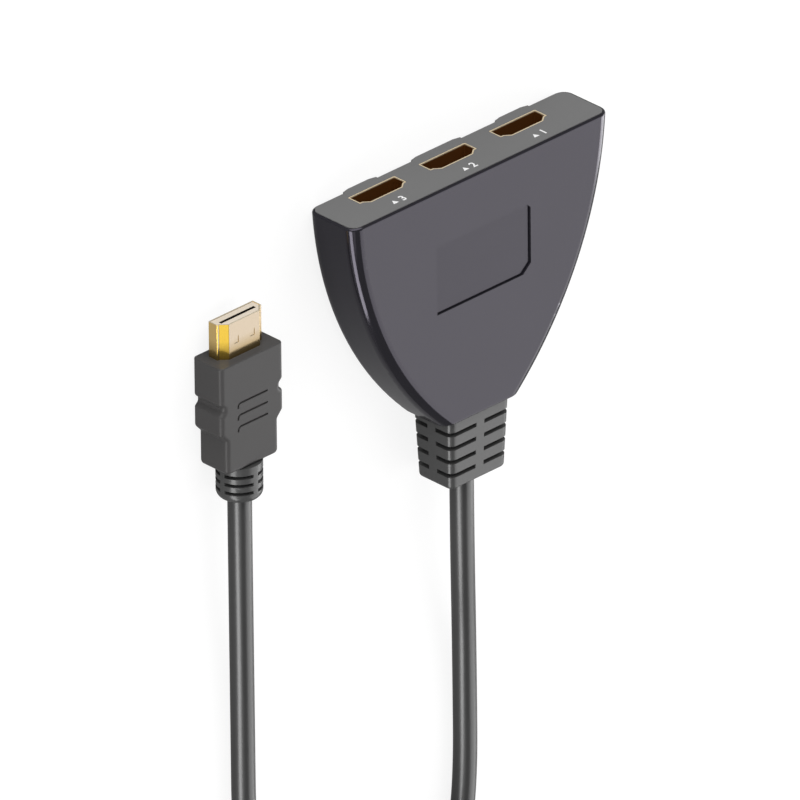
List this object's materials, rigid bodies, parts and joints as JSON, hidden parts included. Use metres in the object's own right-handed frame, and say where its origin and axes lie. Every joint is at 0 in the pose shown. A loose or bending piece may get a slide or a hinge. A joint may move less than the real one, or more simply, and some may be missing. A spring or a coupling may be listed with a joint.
{
  "type": "hdmi switch box",
  "caption": "Flat switch box that joins several video sources to one screen, with a row of input ports, a moulded strain relief and a captive output cable with its plug.",
  "frame": {"origin": "bottom centre of the box and its strain relief, on the plane of the back ridges", "axes": "+Z out of the front face, +Y towards the ports, +X along the port row towards port 1"},
  "size_m": [0.1179, 0.2377, 0.0156],
  "materials": {
    "casing": "satin moulded plastic, fine texture",
    "port_plate": "satin moulded plastic",
    "relief": "satin flexible moulding",
    "jacket": "satin flexible cable jacket",
    "tie": "matte strap",
    "plug_mould": "satin moulding with grip grooves",
    "inner_mould": "plain inner mould",
    "gold": "bright gold plating",
    "plug_filling": "pale moulded plastic",
    "contact": "gold-plated contacts",
    "port_metal": "bright gold plating",
    "port_plastic": "black moulded plastic",
    "board": "solder-masked board",
    "chip": "black moulded package",
    "resistor": "chip part",
    "capacitor": "ceramic chip part",
    "wire": "insulated cores",
    "steel": "plated steel"
  },
  "bodies": {
    "root": {"front_cover": "casing", "back_cover": "casing", "port_plate": "port_plate", "circuit_board": "board", "board_screws": "steel", "switch_chip": "chip", "control_chip": "chip", "voltage_regulator": "chip", "input_diodes": "chip", "chip_resistors": "resistor", "chip_capacitors": "capacitor", "strain_relief": "relief", "cable_core": "jacket", "cable_ferrule": "steel", "cable_wires": "wire", "cable_lead": "jacket", "cable_coil": "jacket", "cable_tail": "jacket", "coil_tie": "tie", "plug_boot": "relief", "plug_overmould": "plug_mould", "plug_core": "inner_mould", "plug_cable_end": "jacket", "plug_shell": "gold", "plug_insulator": "plug_filling", "plug_contacts": "contact", "port_shell_1": "port_metal", "port_insulator_1": "port_plastic", "port_contacts_1": "contact", "port_shell_2": "port_metal", "port_insulator_2": "port_plastic", "port_contacts_2": "contact", "port_shell_3": "port_metal", "port_insulator_3": "port_plastic", "port_contacts_3": "contact"}
  },
  "joints": []
}
